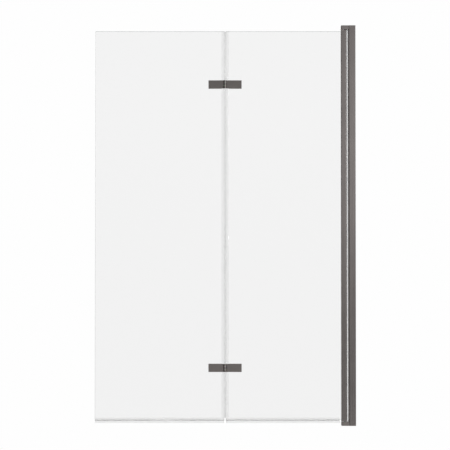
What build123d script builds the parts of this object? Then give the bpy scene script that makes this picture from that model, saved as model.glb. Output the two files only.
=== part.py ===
from build123d import *
import os

os.makedirs("parts", exist_ok=True)

# A folding bath screen: two glass panels hinged to each other and hung on a pivot beside the wall.
# X runs along the screen, with the wall face at 0 and the free edge at the negative end.
# Y runs across it, from the room side at the negative end to the bath side.
# Z is height above the bath rim.

# Whole screen
screen_height = 1400
free_edge_x = -911
glass_thickness = 6
glass_low = 20
glass_high = 1380
glass_arris = 1

# Wall channel, a U open towards the screen
channel_depth = 22.5
channel_width = 26
channel_web = 2
channel_flange = 2
channel_corner = 0.8
wall_hole_radius = 2.75
wall_hole_heights = (100, 500, 900, 1300)

# Adjusting profile, which slides out of the wall channel to meet an uneven wall
adjust_travel = 10
adjuster_back_x = -4
adjuster_shoulder_x = -22.5
adjuster_front_x = -26
adjuster_width = 20.6
adjuster_flange = 1.8
adjuster_web = 1.2
nose_width = 10
adjuster_ports = ((-19, 0), (-9, -5.2))
port_boss_radius = 3.4
groove_mouth = 3
groove_mouth_depth = 1.2
groove_width = 6
groove_depth = 1.3

# Screws that lock the adjusting profile in the wall channel, driven from the bath side
fixing_heights = (150, 700, 1250)
fixing_x = -17.5
fixing_screw_radius = 2
fixing_hole_radius = 2.2
fixing_screw_length = 8.5
fixing_head_radius = 3.8
fixing_head_height = 2.2
clamp_nut_size = 7
clamp_nut_thickness = 2.4
clamp_nut_gap = 0.1
cover_cap_radius = 5
cover_cap_height = 3.2
cover_cap_wall = 0.9

# Pivot brackets at both ends of the adjusting profile, and the pivot in them
bracket_wall_x = -23.5
bracket_outer_x = -50.5
bracket_width = 25
bracket_height = 14
bracket_corner = 3
bracket_edge = 1.5
tongue_end_x = -5
tongue_width = 20.6
pivot_x = -43
pivot_pin_radius = 4
pivot_pin_low = 4.5
pivot_pin_tip = 0.5
bush_radius = 6
bush_bore_radius = 4.05
bush_length = 10
thrust_washer_radius = 5.6
thrust_washer_bore_radius = 4.1
bracket_screw_radius = 1.9
bracket_screw_head_radius = 3.8
bracket_screw_length = 30

# Pivot profile, square at the front and to the screen, round where the bath side meets the wall
pivot_profile_low = 20
pivot_back_radius = 11.5
pivot_reach = 7.5
pivot_wall = 1.8
pivot_corner = 2
glass_pocket_depth = 14
glass_pocket_width = 10
pocket_wall = 1.5
end_port_offset = 8.1
end_port_radius = 1.55
end_port_boss_radius = 3
end_plate_thickness = 4
end_screw_radius = 1.5
end_screw_head_radius = 3
end_screw_length = 14
gasket_inset = 0.4
gasket_base = 1.5
gasket_play = 0.1

# Seal between the adjusting profile and the pivot profile
wall_seal_reach = 5.2
wall_seal_width = 14
wall_seal_corner = 2.4
wall_seal_skin = 1
wall_seal_foot_play = 0.2
wall_seal_end_gap = 1

# Fold between the two panels
fold_x = -456.5
fold_y = -9.5
fold_gap = 6
hinge_heights = {"upper": 1193, "lower": 201.5}
hinge_height = 28.3
hinge_half_length = 58
plate_thickness = 5
pad_thickness = 1
plate_edge = 0.7
back_plate_length = 45.5
knuckle_radius = 5.5
knuckle_clearance = 0.4
middle_knuckle_height = 11
inner_knuckle_gap = 12
hinge_pin_radius = 2.5
hinge_pin_inset = 0.4
hinge_bush_radius = 3.5
hinge_play = 0.05
press_play = 0.02
hinge_washer_thickness = 0.4
hinge_washer_radius = 5.2
pad_edge_inset = 1.5
hinge_screw_spacing = 26
hinge_screw_radius = 2.5
hinge_screw_head_radius = 5
hinge_screw_length = 17
plate_screw_hole_radius = 2.7
glass_hole_radius = 6
sleeve_radius = 5.8
sleeve_bore_radius = 2.6
pad_hole_radius = 2.8
thread_depth = 4.2

# Screw details that all screws share
countersink_angle = 90
screw_tip = 0.5
socket_width_share = 0.5
socket_depth_share = 0.8
head_edge_share = 0.4
cap_edge_share = 0.5

# Clear seals on the glass
seal_skin = 1
seal_play = 0.1
seal_grip = 9.2
bottom_seal_grip = 7
bottom_seal_web = 2
bottom_lip_low = 9
bottom_lip_thickness = 1.2
bottom_lip_y = -2
deflector_reach = 7
deflector_drop = 3.2
edge_seal_low = 28
edge_seal_hinge_gap = 0.5
bulb_reach = 3.6
bulb_width = 5
bulb_root = 0.6
bulb_skin = 0.9
bulb_corner = 1.5
inner_seal_end_x = -56
inner_lip_end_x = -58.5

# Values that follow from the sizes above
mid_plane = Plane.XY.offset(screen_height / 2)
adjuster_depth = adjuster_back_x - adjuster_shoulder_x
nose_back_x = adjuster_shoulder_x + adjuster_web
half_glass = glass_thickness / 2
outer_glass_edge_x = fold_x - fold_gap / 2
inner_glass_edge_x = fold_x + fold_gap / 2
pocket_end_x = pivot_x - pivot_reach + glass_pocket_depth
inner_glass_wall_x = pocket_end_x - gasket_base
pivot_profile_length = screen_height - 2 * pivot_profile_low
end_plate_low = pivot_profile_low - end_plate_thickness
end_ports = ((pivot_x, end_port_offset), (pivot_x, -end_port_offset))
plate_seat = half_glass + pad_thickness
plate_face = plate_seat + plate_thickness
back_plate_offset = hinge_half_length - back_plate_length / 2
edge_seal_high = glass_high
grip_slot = glass_thickness + 2 * seal_play
grip_width = grip_slot + 2 * seal_skin
wall_ward = (Align.MIN, Align.CENTER)
screen_ward = (Align.MAX, Align.CENTER)
upward = (Align.CENTER, Align.MIN)


def bath_side_plane(x, y, z):
    """A plane at this point that faces the bath side."""
    return Plane(origin=(x, y, z), x_dir=(1, 0, 0), z_dir=(0, 1, 0))


def underside_plane(x, y, z):
    """A plane at this point that faces down."""
    return Plane(origin=(x, y, z), z_dir=(0, 0, -1))


def countersunk_screw(head_radius, shank_radius, length):
    """A countersunk socket screw with the top of its head at the origin and its shank below."""
    head_depth = head_radius - shank_radius
    with BuildPart() as screw:
        with BuildSketch(Plane.XZ):
            with BuildLine():
                Polyline(
                    (0, 0),
                    (head_radius, 0),
                    (shank_radius, -head_depth),
                    (shank_radius, screw_tip - length),
                    (shank_radius - screw_tip, -length),
                    (0, -length),
                    close=True,
                )
            make_face()
        revolve(axis=Axis.Z)
        with BuildSketch():
            RegularPolygon(head_radius * socket_width_share, 6)
        extrude(amount=-head_depth * socket_depth_share, mode=Mode.SUBTRACT)
    return screw.part


def draw_pivot_outline(inset):
    """The outline of the pivot profile, drawn smaller by the inset, in the sketch in progress."""
    radius = pivot_back_radius - inset
    reach = pivot_reach - inset
    with Locations((pivot_x, 0)):
        Circle(radius)
        Rectangle(radius, radius, align=(Align.MIN, Align.MAX))
        Rectangle(reach, 2 * radius, align=screen_ward)
    with Locations((pivot_x - reach, 0)):
        Rectangle(radius, 2 * radius, align=screen_ward, mode=Mode.SUBTRACT)


def square_corners(outline):
    """The three corners of a pivot outline: two at the front and the back one by the screen."""
    corners = outline.vertices()
    return [*corners.group_by(Axis.Y)[0], corners.group_by(Axis.X)[0].sort_by(Axis.Y)[-1]]


# Wall channel
with BuildPart() as wall_profile:
    with BuildSketch() as channel_section:
        Rectangle(channel_depth, channel_width, align=screen_ward)
        with Locations((-channel_web, 0)):
            Rectangle(
                channel_depth, channel_width - 2 * channel_flange, align=screen_ward, mode=Mode.SUBTRACT
            )
        lips = channel_section.vertices().group_by(Axis.X)[0].sort_by(Axis.Y)
        fillet([lips[0], lips[-1]], radius=channel_corner)
    extrude(amount=screen_height)
    with BuildSketch(Plane.YZ):
        with Locations(*[(0, height) for height in wall_hole_heights]):
            Circle(wall_hole_radius)
    extrude(amount=-channel_web, mode=Mode.SUBTRACT)
    with BuildSketch(Plane.XZ.offset(-channel_width / 2)):
        with Locations(*[(fixing_x, height) for height in fixing_heights]):
            Circle(fixing_hole_radius)
    extrude(amount=channel_flange, mode=Mode.SUBTRACT)
wall_profile.part.label = "wall_profile"
export_step(wall_profile.part, "parts/wall_profile.step")

# Fixing screws, each a pan head on the channel's bath side
with BuildPart() as pan_screw:
    with BuildSketch():
        Circle(fixing_head_radius)
    extrude(amount=fixing_head_height)
    fillet(pan_screw.edges().group_by(Axis.Z)[-1], radius=fixing_head_height * head_edge_share)
    with BuildSketch():
        Circle(fixing_screw_radius)
    extrude(amount=-fixing_screw_length)
    with BuildSketch(Plane.XY.offset(fixing_head_height)):
        RegularPolygon(fixing_head_radius * socket_width_share, 6)
    extrude(amount=-fixing_head_height * socket_depth_share, mode=Mode.SUBTRACT)

with BuildPart() as fixing_screws:
    with Locations(*[bath_side_plane(fixing_x, channel_width / 2, z) for z in fixing_heights]):
        add(pan_screw.part)
fixing_screws.part.label = "fixing_screws"
export_step(fixing_screws.part, "parts/fixing_screws.step")

# Clamp nuts inside the adjusting profile
clamp_nut_y = adjuster_width / 2 - adjuster_flange - clamp_nut_gap
with BuildPart() as clamp_nuts:
    with BuildSketch(Plane.XZ.offset(-clamp_nut_y)):
        with Locations(*[(fixing_x, height) for height in fixing_heights]):
            Rectangle(clamp_nut_size, clamp_nut_size)
            Circle(fixing_screw_radius, mode=Mode.SUBTRACT)
    extrude(amount=clamp_nut_thickness)
clamp_nuts.part.label = "clamp_nuts"
export_step(clamp_nuts.part, "parts/clamp_nuts.step")

# Snap caps over the fixing screws
with BuildPart() as cover_cap:
    with BuildSketch():
        Circle(cover_cap_radius)
    extrude(amount=cover_cap_height)
    fillet(cover_cap.edges().group_by(Axis.Z)[-1], radius=cover_cap_height * cap_edge_share)
    with BuildSketch():
        Circle(cover_cap_radius - cover_cap_wall)
    extrude(amount=fixing_head_height + clamp_nut_gap, mode=Mode.SUBTRACT)

with BuildPart() as fixing_screw_caps:
    with Locations(*[bath_side_plane(fixing_x, channel_width / 2, z) for z in fixing_heights]):
        add(cover_cap.part)
fixing_screw_caps.part.label = "fixing_screw_caps"
export_step(fixing_screw_caps.part, "parts/fixing_screw_caps.step")

# Adjusting profile: a U with a narrow nose for the seal groove, screw ports and clamp slots
with BuildPart() as adjusting_profile:
    with BuildSketch(Plane.XY.offset(bracket_height)):
        with Locations((adjuster_back_x, 0)):
            Rectangle(adjuster_depth, adjuster_width, align=screen_ward)
            Rectangle(
                adjuster_depth - adjuster_web,
                adjuster_width - 2 * adjuster_flange,
                align=screen_ward,
                mode=Mode.SUBTRACT,
            )
        with Locations((adjuster_front_x, 0)):
            Rectangle(nose_back_x - adjuster_front_x, nose_width, align=wall_ward)
        with Locations(*adjuster_ports):
            Circle(port_boss_radius)
            Circle(bracket_screw_radius, mode=Mode.SUBTRACT)
        with Locations((adjuster_front_x, 0)):
            Rectangle(groove_mouth_depth, groove_mouth, align=wall_ward, mode=Mode.SUBTRACT)
        with Locations((adjuster_front_x + groove_mouth_depth, 0)):
            Rectangle(groove_depth, groove_width, align=wall_ward, mode=Mode.SUBTRACT)
    extrude(amount=screen_height - 2 * bracket_height)
    with BuildSketch(Plane.XZ.offset(-adjuster_width / 2)):
        with Locations(*[(fixing_x + adjust_travel / 2, height) for height in fixing_heights]):
            SlotOverall(adjust_travel + 2 * fixing_hole_radius, 2 * fixing_hole_radius)
    extrude(amount=adjuster_flange, mode=Mode.SUBTRACT)
adjusting_profile.part.label = "adjusting_profile"
export_step(adjusting_profile.part, "parts/adjusting_profile.step")

bracket_screw_planes = [underside_plane(x, y, 0) for x, y in adjuster_ports]

# Pivot brackets: a rounded block under the pivot and a tongue in the end of the wall channel
with BuildPart() as bottom_pivot_bracket:
    with BuildSketch():
        with Locations((bracket_wall_x, 0)):
            Rectangle(bracket_wall_x - bracket_outer_x, bracket_width, align=screen_ward)
    extrude(amount=bracket_height)
    fillet(bottom_pivot_bracket.edges().filter_by(Axis.Z).group_by(Axis.X)[0], radius=bracket_corner)
    sole = bottom_pivot_bracket.faces().sort_by(Axis.Z)[0]
    fillet(sole.edges().sort_by(Axis.X)[:-1], radius=bracket_edge)
    with BuildSketch():
        with Locations((bracket_wall_x, 0)):
            Rectangle(tongue_end_x - bracket_wall_x, tongue_width, align=wall_ward)
    extrude(amount=bracket_height)
    with BuildSketch(Plane.XY.offset(bracket_height)):
        with Locations((pivot_x, 0)):
            Circle(bush_radius)
    extrude(amount=-bush_length, mode=Mode.SUBTRACT)
    with Locations(*bracket_screw_planes):
        CounterSinkHole(bracket_screw_radius, bracket_screw_head_radius, bracket_height, countersink_angle)
bottom_pivot_bracket.part.label = "bottom_pivot_bracket"
export_step(bottom_pivot_bracket.part, "parts/bottom_pivot_bracket.step")

with BuildPart() as top_pivot_bracket:
    mirror(bottom_pivot_bracket.part, about=mid_plane)
top_pivot_bracket.part.label = "top_pivot_bracket"
export_step(top_pivot_bracket.part, "parts/top_pivot_bracket.step")

# Screws that hold the brackets to the adjusting profile
bracket_screw = countersunk_screw(bracket_screw_head_radius, bracket_screw_radius, bracket_screw_length)
with BuildPart() as bracket_screws:
    with Locations(*bracket_screw_planes):
        add(bracket_screw)
    mirror(about=mid_plane)
bracket_screws.part.label = "bracket_screws"
export_step(bracket_screws.part, "parts/bracket_screws.step")

# Plain bushes that the pivot pins turn in
with BuildPart() as bottom_pivot_bush:
    with BuildSketch(Plane.XY.offset(bracket_height)):
        with Locations((pivot_x, 0)):
            Circle(bush_radius)
            Circle(bush_bore_radius, mode=Mode.SUBTRACT)
    extrude(amount=-bush_length)
bottom_pivot_bush.part.label = "bottom_pivot_bush"
export_step(bottom_pivot_bush.part, "parts/bottom_pivot_bush.step")

with BuildPart() as top_pivot_bush:
    mirror(bottom_pivot_bush.part, about=mid_plane)
top_pivot_bush.part.label = "top_pivot_bush"
export_step(top_pivot_bush.part, "parts/top_pivot_bush.step")

# Thrust washers; the bottom one carries the weight of both panels
with BuildPart() as bottom_thrust_washer:
    with BuildSketch(Plane.XY.offset(bracket_height)):
        with Locations((pivot_x, 0)):
            Circle(thrust_washer_radius)
            Circle(thrust_washer_bore_radius, mode=Mode.SUBTRACT)
    extrude(amount=end_plate_low - bracket_height)
bottom_thrust_washer.part.label = "bottom_thrust_washer"
export_step(bottom_thrust_washer.part, "parts/bottom_thrust_washer.step")

with BuildPart() as top_thrust_washer:
    mirror(bottom_thrust_washer.part, about=mid_plane)
top_thrust_washer.part.label = "top_thrust_washer"
export_step(top_thrust_washer.part, "parts/top_thrust_washer.step")

# Hollow seal in the adjusting profile's groove, close to the wall side of the pivot profile
with BuildPart() as wall_seal:
    with BuildSketch(Plane.XY.offset(bracket_height + wall_seal_end_gap)):
        with Locations((adjuster_front_x - wall_seal_reach / 2, 0)):
            RectangleRounded(wall_seal_reach, wall_seal_width, wall_seal_corner)
            RectangleRounded(
                wall_seal_reach - 2 * wall_seal_skin,
                wall_seal_width - 2 * wall_seal_skin,
                wall_seal_corner - wall_seal_skin,
                mode=Mode.SUBTRACT,
            )
        with Locations((adjuster_front_x, 0)):
            Rectangle(
                groove_mouth_depth + wall_seal_foot_play,
                groove_mouth - 2 * wall_seal_foot_play,
                align=wall_ward,
            )
        with Locations((adjuster_front_x + groove_mouth_depth, 0)):
            Rectangle(
                groove_depth - wall_seal_foot_play, groove_width - 2 * wall_seal_foot_play, align=wall_ward
            )
    extrude(amount=screen_height - 2 * (bracket_height + wall_seal_end_gap))
wall_seal.part.label = "wall_seal"
export_step(wall_seal.part, "parts/wall_seal.step")

# Pivot profile: outline, hollow chambers, then the glass pocket and screw ports
with BuildPart() as pivot_profile:
    with BuildSketch(Plane.XY.offset(pivot_profile_low)) as outline:
        draw_pivot_outline(0)
        fillet(square_corners(outline), radius=pivot_corner)
    extrude(amount=pivot_profile_length)
    with BuildSketch(Plane.XY.offset(pivot_profile_low)):
        draw_pivot_outline(pivot_wall)
        with Locations((pocket_end_x + pocket_wall, 0)):
            Rectangle(
                2 * glass_pocket_depth,
                glass_pocket_width + 2 * pocket_wall,
                align=screen_ward,
                mode=Mode.SUBTRACT,
            )
            Rectangle(glass_pocket_depth, 2 * pivot_back_radius, align=wall_ward, mode=Mode.SUBTRACT)
        with Locations(*end_ports):
            Circle(end_port_boss_radius, mode=Mode.SUBTRACT)
    extrude(amount=pivot_profile_length, mode=Mode.SUBTRACT)
    with BuildSketch(Plane.XY.offset(pivot_profile_low)):
        with Locations((pocket_end_x, 0)):
            Rectangle(glass_pocket_depth, glass_pocket_width, align=screen_ward)
        with Locations(*end_ports):
            Circle(end_port_radius)
    extrude(amount=pivot_profile_length, mode=Mode.SUBTRACT)
pivot_profile.part.label = "pivot_profile"
export_step(pivot_profile.part, "parts/pivot_profile.step")

end_screw_planes = [underside_plane(x, y, end_plate_low) for x, y in end_ports]

# End plates that close the pivot profile and hold the pivot pins
with BuildPart() as bottom_end_plate:
    with BuildSketch(Plane.XY.offset(end_plate_low)) as plate_outline:
        draw_pivot_outline(0)
        fillet(square_corners(plate_outline), radius=pivot_corner)
        with Locations((pivot_x, 0)):
            Circle(pivot_pin_radius, mode=Mode.SUBTRACT)
    extrude(amount=end_plate_thickness)
    with Locations(*end_screw_planes):
        CounterSinkHole(end_port_radius, end_screw_head_radius, end_plate_thickness, countersink_angle)
bottom_end_plate.part.label = "bottom_end_plate"
export_step(bottom_end_plate.part, "parts/bottom_end_plate.step")

with BuildPart() as top_end_plate:
    mirror(bottom_end_plate.part, about=mid_plane)
top_end_plate.part.label = "top_end_plate"
export_step(top_end_plate.part, "parts/top_end_plate.step")

end_screw = countersunk_screw(end_screw_head_radius, end_screw_radius, end_screw_length)
with BuildPart() as end_plate_screws:
    with Locations(*end_screw_planes):
        add(end_screw)
    mirror(about=mid_plane)
end_plate_screws.part.label = "end_plate_screws"
export_step(end_plate_screws.part, "parts/end_plate_screws.step")

# Pivot pins, pressed in the end plates
with BuildPart() as bottom_pivot_pin:
    with BuildSketch(Plane.XY.offset(pivot_pin_low)):
        with Locations((pivot_x, 0)):
            Circle(pivot_pin_radius)
    extrude(amount=pivot_profile_low - pivot_pin_low)
    chamfer(bottom_pivot_pin.edges().group_by(Axis.Z)[0], length=pivot_pin_tip)
bottom_pivot_pin.part.label = "bottom_pivot_pin"
export_step(bottom_pivot_pin.part, "parts/bottom_pivot_pin.step")

with BuildPart() as top_pivot_pin:
    mirror(bottom_pivot_pin.part, about=mid_plane)
top_pivot_pin.part.label = "top_pivot_pin"
export_step(top_pivot_pin.part, "parts/top_pivot_pin.step")

# Soft channel between the glass and its pocket
with BuildPart() as glazing_gasket:
    with BuildSketch(Plane.XY.offset(pivot_profile_low)):
        with Locations((pocket_end_x, 0)):
            Rectangle(glass_pocket_depth - gasket_inset, glass_pocket_width, align=screen_ward)
        with Locations((inner_glass_wall_x + gasket_play, 0)):
            Rectangle(
                glass_pocket_depth, glass_thickness + 2 * gasket_play, align=screen_ward, mode=Mode.SUBTRACT
            )
    extrude(amount=pivot_profile_length)
glazing_gasket.part.label = "glazing_gasket"
export_step(glazing_gasket.part, "parts/glazing_gasket.step")


def hinge_screw_xs(side):
    """Where the two screws of a hinge leaf stand; side is 1 for the inner leaf and -1 for the outer."""
    centre = fold_x + side * back_plate_offset
    return (centre - hinge_screw_spacing / 2, centre + hinge_screw_spacing / 2)


def make_glass(name, start_x, end_x, side):
    """A toughened pane with ground edges and four holes for the hinge screws."""
    with BuildPart() as pane:
        with BuildSketch(Plane.XZ.offset(-half_glass)):
            with Locations(((start_x + end_x) / 2, (glass_low + glass_high) / 2)):
                Rectangle(end_x - start_x, glass_high - glass_low)
            with Locations(*[(x, z) for x in hinge_screw_xs(side) for z in hinge_heights.values()]):
                Circle(glass_hole_radius, mode=Mode.SUBTRACT)
        extrude(amount=glass_thickness)
        rims = pane.faces().filter_by(Axis.Y).edges().filter_by(GeomType.LINE)
        chamfer(rims, length=glass_arris)
    pane.part.label = name
    export_step(pane.part, f"parts/{name}.step")


def make_bottom_seal(name, start_x, end_x, lip_end_x):
    """A clear strip that grips the glass, with a hanging lip and a fin that sheds water to the bath."""
    web_low = glass_low - bottom_seal_web
    fin_tip = web_low - deflector_drop
    with BuildPart() as seal:
        with BuildSketch(Plane.YZ.offset(start_x)):
            with Locations((0, web_low)):
                Rectangle(grip_width, bottom_seal_web + bottom_seal_grip, align=upward)
            with Locations((0, glass_low - seal_play)):
                Rectangle(grip_slot, bottom_seal_grip + seal_play, align=upward, mode=Mode.SUBTRACT)
            with BuildLine():
                Polyline(
                    (half_glass, web_low),
                    (grip_width / 2, web_low),
                    (half_glass + deflector_reach, fin_tip),
                    (half_glass + deflector_reach + seal_skin, fin_tip + seal_skin),
                    (grip_width / 2, glass_low - seal_play),
                    (half_glass, glass_low - seal_play),
                    close=True,
                )
            make_face()
        extrude(amount=end_x - start_x)
        with BuildSketch(Plane.YZ.offset(start_x)):
            with Locations((bottom_lip_y, bottom_lip_low)):
                Rectangle(bottom_lip_thickness, web_low - bottom_lip_low, align=upward)
        extrude(amount=lip_end_x - start_x)
    seal.part.label = name
    export_step(seal.part, f"parts/{name}.step")


# The glass edge between the hinges carries each edge seal in three lengths
seal_stops = hinge_height / 2 + edge_seal_hinge_gap
seal_spans = {
    "lower": (edge_seal_low, hinge_heights["lower"] - seal_stops),
    "middle": (hinge_heights["lower"] + seal_stops, hinge_heights["upper"] - seal_stops),
    "upper": (hinge_heights["upper"] + seal_stops, edge_seal_high),
}


def make_outer_edge_seal(name, low, high):
    """A clear grip on the outer pane's fold edge with a hollow bulb in the gap."""
    web_x = outer_glass_edge_x + seal_skin
    bulb_length = bulb_reach + bulb_root
    with BuildPart() as seal:
        with BuildSketch(Plane.XY.offset(low)):
            with Locations((web_x, 0)):
                Rectangle(seal_grip + seal_skin, grip_width, align=screen_ward)
            with Locations((outer_glass_edge_x + seal_play, 0)):
                Rectangle(seal_grip + seal_play, grip_slot, align=screen_ward, mode=Mode.SUBTRACT)
            with Locations((web_x - bulb_root + bulb_length / 2, 0)):
                RectangleRounded(bulb_length, bulb_width, bulb_corner)
                RectangleRounded(
                    bulb_length - 2 * bulb_skin,
                    bulb_width - 2 * bulb_skin,
                    bulb_corner - bulb_skin,
                    mode=Mode.SUBTRACT,
                )
        extrude(amount=high - low)
    seal.part.label = name
    export_step(seal.part, f"parts/{name}.step")


def make_inner_edge_seal(name, low, high):
    """A clear grip on the inner pane's fold edge, flat where the bulb meets it."""
    with BuildPart() as seal:
        with BuildSketch(Plane.XY.offset(low)):
            with Locations((inner_glass_edge_x - seal_skin, 0)):
                Rectangle(seal_grip + seal_skin, grip_width, align=wall_ward)
            with Locations((inner_glass_edge_x - seal_play, 0)):
                Rectangle(seal_grip + seal_play, grip_slot, align=wall_ward, mode=Mode.SUBTRACT)
        extrude(amount=high - low)
    seal.part.label = name
    export_step(seal.part, f"parts/{name}.step")


make_glass("outer_glass", free_edge_x, outer_glass_edge_x, -1)
make_glass("inner_glass", inner_glass_edge_x, inner_glass_wall_x, 1)
make_bottom_seal("outer_bottom_seal", free_edge_x, outer_glass_edge_x, outer_glass_edge_x)
make_bottom_seal("inner_bottom_seal", inner_glass_edge_x, inner_seal_end_x, inner_lip_end_x)
for span, (span_low, span_high) in seal_spans.items():
    make_outer_edge_seal(f"outer_edge_seal_{span}", span_low, span_high)
    make_inner_edge_seal(f"inner_edge_seal_{span}", span_low, span_high)

# Heights in a hinge that its knuckles take, measured from the hinge's middle
half_hinge = hinge_height / 2
half_middle = middle_knuckle_height / 2
half_inner_gap = inner_knuckle_gap / 2
outer_knuckles = ((-half_middle, half_middle),)
inner_knuckles = ((-half_hinge, -half_inner_gap), (half_inner_gap, half_hinge))
outer_cutaways = ((-half_hinge, -half_middle), (half_middle, half_hinge))
inner_cutaways = ((-half_inner_gap, half_inner_gap),)


def make_leaf(name, hinge_z, side, knuckles, cutaways, bore_radius):
    """A hinge leaf on the room side: a flat plate that carries its share of the knuckles."""
    plate_align = wall_ward if side > 0 else screen_ward
    with BuildPart() as leaf:
        with BuildSketch(Plane.XY.offset(hinge_z - half_hinge)):
            with Locations((fold_x, -(plate_seat + plate_face) / 2)):
                Rectangle(hinge_half_length, plate_thickness, align=plate_align)
        extrude(amount=hinge_height)
        front = leaf.faces().sort_by(Axis.Y)[0]
        fillet(front.edges().sort_by(lambda edge: abs(edge.center().X - fold_x))[1:], radius=plate_edge)
        for low, high in cutaways:
            with BuildSketch(Plane.XY.offset(hinge_z + low)):
                with Locations((fold_x, fold_y)):
                    Circle(knuckle_radius + knuckle_clearance)
            extrude(amount=high - low, mode=Mode.SUBTRACT)
        for low, high in knuckles:
            with BuildSketch(Plane.XY.offset(hinge_z + low)):
                with Locations((fold_x, fold_y)):
                    Circle(knuckle_radius)
            extrude(amount=high - low)
        with BuildSketch(Plane.XY.offset(hinge_z - half_hinge)):
            with Locations((fold_x, fold_y)):
                Circle(bore_radius)
        extrude(amount=hinge_height, mode=Mode.SUBTRACT)
        with BuildSketch(Plane.XZ.offset(plate_seat)):
            with Locations(*[(x, hinge_z) for x in hinge_screw_xs(side)]):
                Circle(hinge_screw_radius)
        extrude(amount=thread_depth, mode=Mode.SUBTRACT)
    leaf.part.label = name
    export_step(leaf.part, f"parts/{name}.step")


def make_back_plate(name, hinge_z, side):
    """The clamping plate on the bath side, with countersunk holes."""
    with BuildPart() as plate:
        with BuildSketch(Plane.XZ.offset(-plate_face)):
            with Locations((fold_x + side * back_plate_offset, hinge_z)):
                Rectangle(back_plate_length, hinge_height)
        extrude(amount=plate_thickness)
        fillet(plate.faces().sort_by(Axis.Y)[-1].edges(), radius=plate_edge)
        with Locations(*[bath_side_plane(x, plate_face, hinge_z) for x in hinge_screw_xs(side)]):
            CounterSinkHole(
                plate_screw_hole_radius, hinge_screw_head_radius, plate_thickness, countersink_angle
            )
    plate.part.label = name
    export_step(plate.part, f"parts/{name}.step")


def make_pads(name, hinge_z, side):
    """Two soft pads, one under the leaf and one under the back plate."""
    glass_edge_x = inner_glass_edge_x if side > 0 else outer_glass_edge_x
    near_x = glass_edge_x + side * pad_edge_inset
    far_x = fold_x + side * hinge_half_length
    front_pad = (-half_glass, abs(far_x - near_x), (near_x + far_x) / 2)
    back_pad = (plate_seat, back_plate_length, fold_x + side * back_plate_offset)
    with BuildPart() as pads:
        for y, length, centre_x in (front_pad, back_pad):
            with BuildSketch(Plane.XZ.offset(-y)):
                with Locations((centre_x, hinge_z)):
                    Rectangle(length, hinge_height)
                with Locations(*[(x, hinge_z) for x in hinge_screw_xs(side)]):
                    Circle(pad_hole_radius, mode=Mode.SUBTRACT)
            extrude(amount=pad_thickness)
    pads.part.label = name
    export_step(pads.part, f"parts/{name}.step")


def make_hinge_screws(name, side):
    """The countersunk screws that clamp both of a panel's hinges through the glass."""
    screw = countersunk_screw(hinge_screw_head_radius, hinge_screw_radius, hinge_screw_length)
    seats = [(x, z) for z in hinge_heights.values() for x in hinge_screw_xs(side)]
    with BuildPart() as screws:
        with Locations(*[bath_side_plane(x, plate_face, z) for x, z in seats]):
            add(screw)
    screws.part.label = name
    export_step(screws.part, f"parts/{name}.step")


def make_sleeves(name, side):
    """Plastic sleeves that keep the screws off the glass."""
    with BuildPart() as sleeves:
        with BuildSketch(Plane.XZ.offset(-half_glass)):
            with Locations(*[(x, z) for z in hinge_heights.values() for x in hinge_screw_xs(side)]):
                Circle(sleeve_radius)
                Circle(sleeve_bore_radius, mode=Mode.SUBTRACT)
        extrude(amount=glass_thickness)
    sleeves.part.label = name
    export_step(sleeves.part, f"parts/{name}.step")


def make_hinge_pin(name, hinge_z):
    """The pin, pressed in the inner leaf's knuckles."""
    with BuildPart() as pin:
        with BuildSketch(Plane.XY.offset(hinge_z - half_hinge + hinge_pin_inset)):
            with Locations((fold_x, fold_y)):
                Circle(hinge_pin_radius)
        extrude(amount=hinge_height - 2 * hinge_pin_inset)
        chamfer(pin.edges(), length=hinge_pin_inset)
    pin.part.label = name
    export_step(pin.part, f"parts/{name}.step")


def make_hinge_bush(name, hinge_z):
    """The plain bush in the outer leaf's knuckle."""
    with BuildPart() as bush:
        with BuildSketch(Plane.XY.offset(hinge_z - half_middle)):
            with Locations((fold_x, fold_y)):
                Circle(hinge_bush_radius)
                Circle(hinge_pin_radius + hinge_play, mode=Mode.SUBTRACT)
        extrude(amount=middle_knuckle_height)
    bush.part.label = name
    export_step(bush.part, f"parts/{name}.step")


def make_hinge_washers(name, hinge_z):
    """Two thin washers between the knuckles."""
    with BuildPart() as washers:
        for low in (-half_inner_gap, half_inner_gap - hinge_washer_thickness):
            with BuildSketch(Plane.XY.offset(hinge_z + low)):
                with Locations((fold_x, fold_y)):
                    Circle(hinge_washer_radius)
                    Circle(hinge_pin_radius + hinge_play, mode=Mode.SUBTRACT)
            extrude(amount=hinge_washer_thickness)
    washers.part.label = name
    export_step(washers.part, f"parts/{name}.step")


for place, hinge_z in hinge_heights.items():
    pressed_bore = hinge_pin_radius + press_play
    make_leaf(f"{place}_hinge_inner_leaf", hinge_z, 1, inner_knuckles, inner_cutaways, pressed_bore)
    make_leaf(f"{place}_hinge_outer_leaf", hinge_z, -1, outer_knuckles, outer_cutaways, hinge_bush_radius)
    for panel, side in (("inner", 1), ("outer", -1)):
        make_back_plate(f"{place}_hinge_{panel}_back_plate", hinge_z, side)
        make_pads(f"{place}_hinge_{panel}_pads", hinge_z, side)
    make_hinge_pin(f"{place}_hinge_pin", hinge_z)
    make_hinge_bush(f"{place}_hinge_bush", hinge_z)
    make_hinge_washers(f"{place}_hinge_washers", hinge_z)

for panel, side in (("inner", 1), ("outer", -1)):
    make_hinge_screws(f"{panel}_hinge_screws", side)
    make_sleeves(f"{panel}_hinge_sleeves", side)
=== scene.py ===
import math

import bmesh
import bpy
from mathutils import Matrix, Vector
from mathutils.bvhtree import BVHTree


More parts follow.
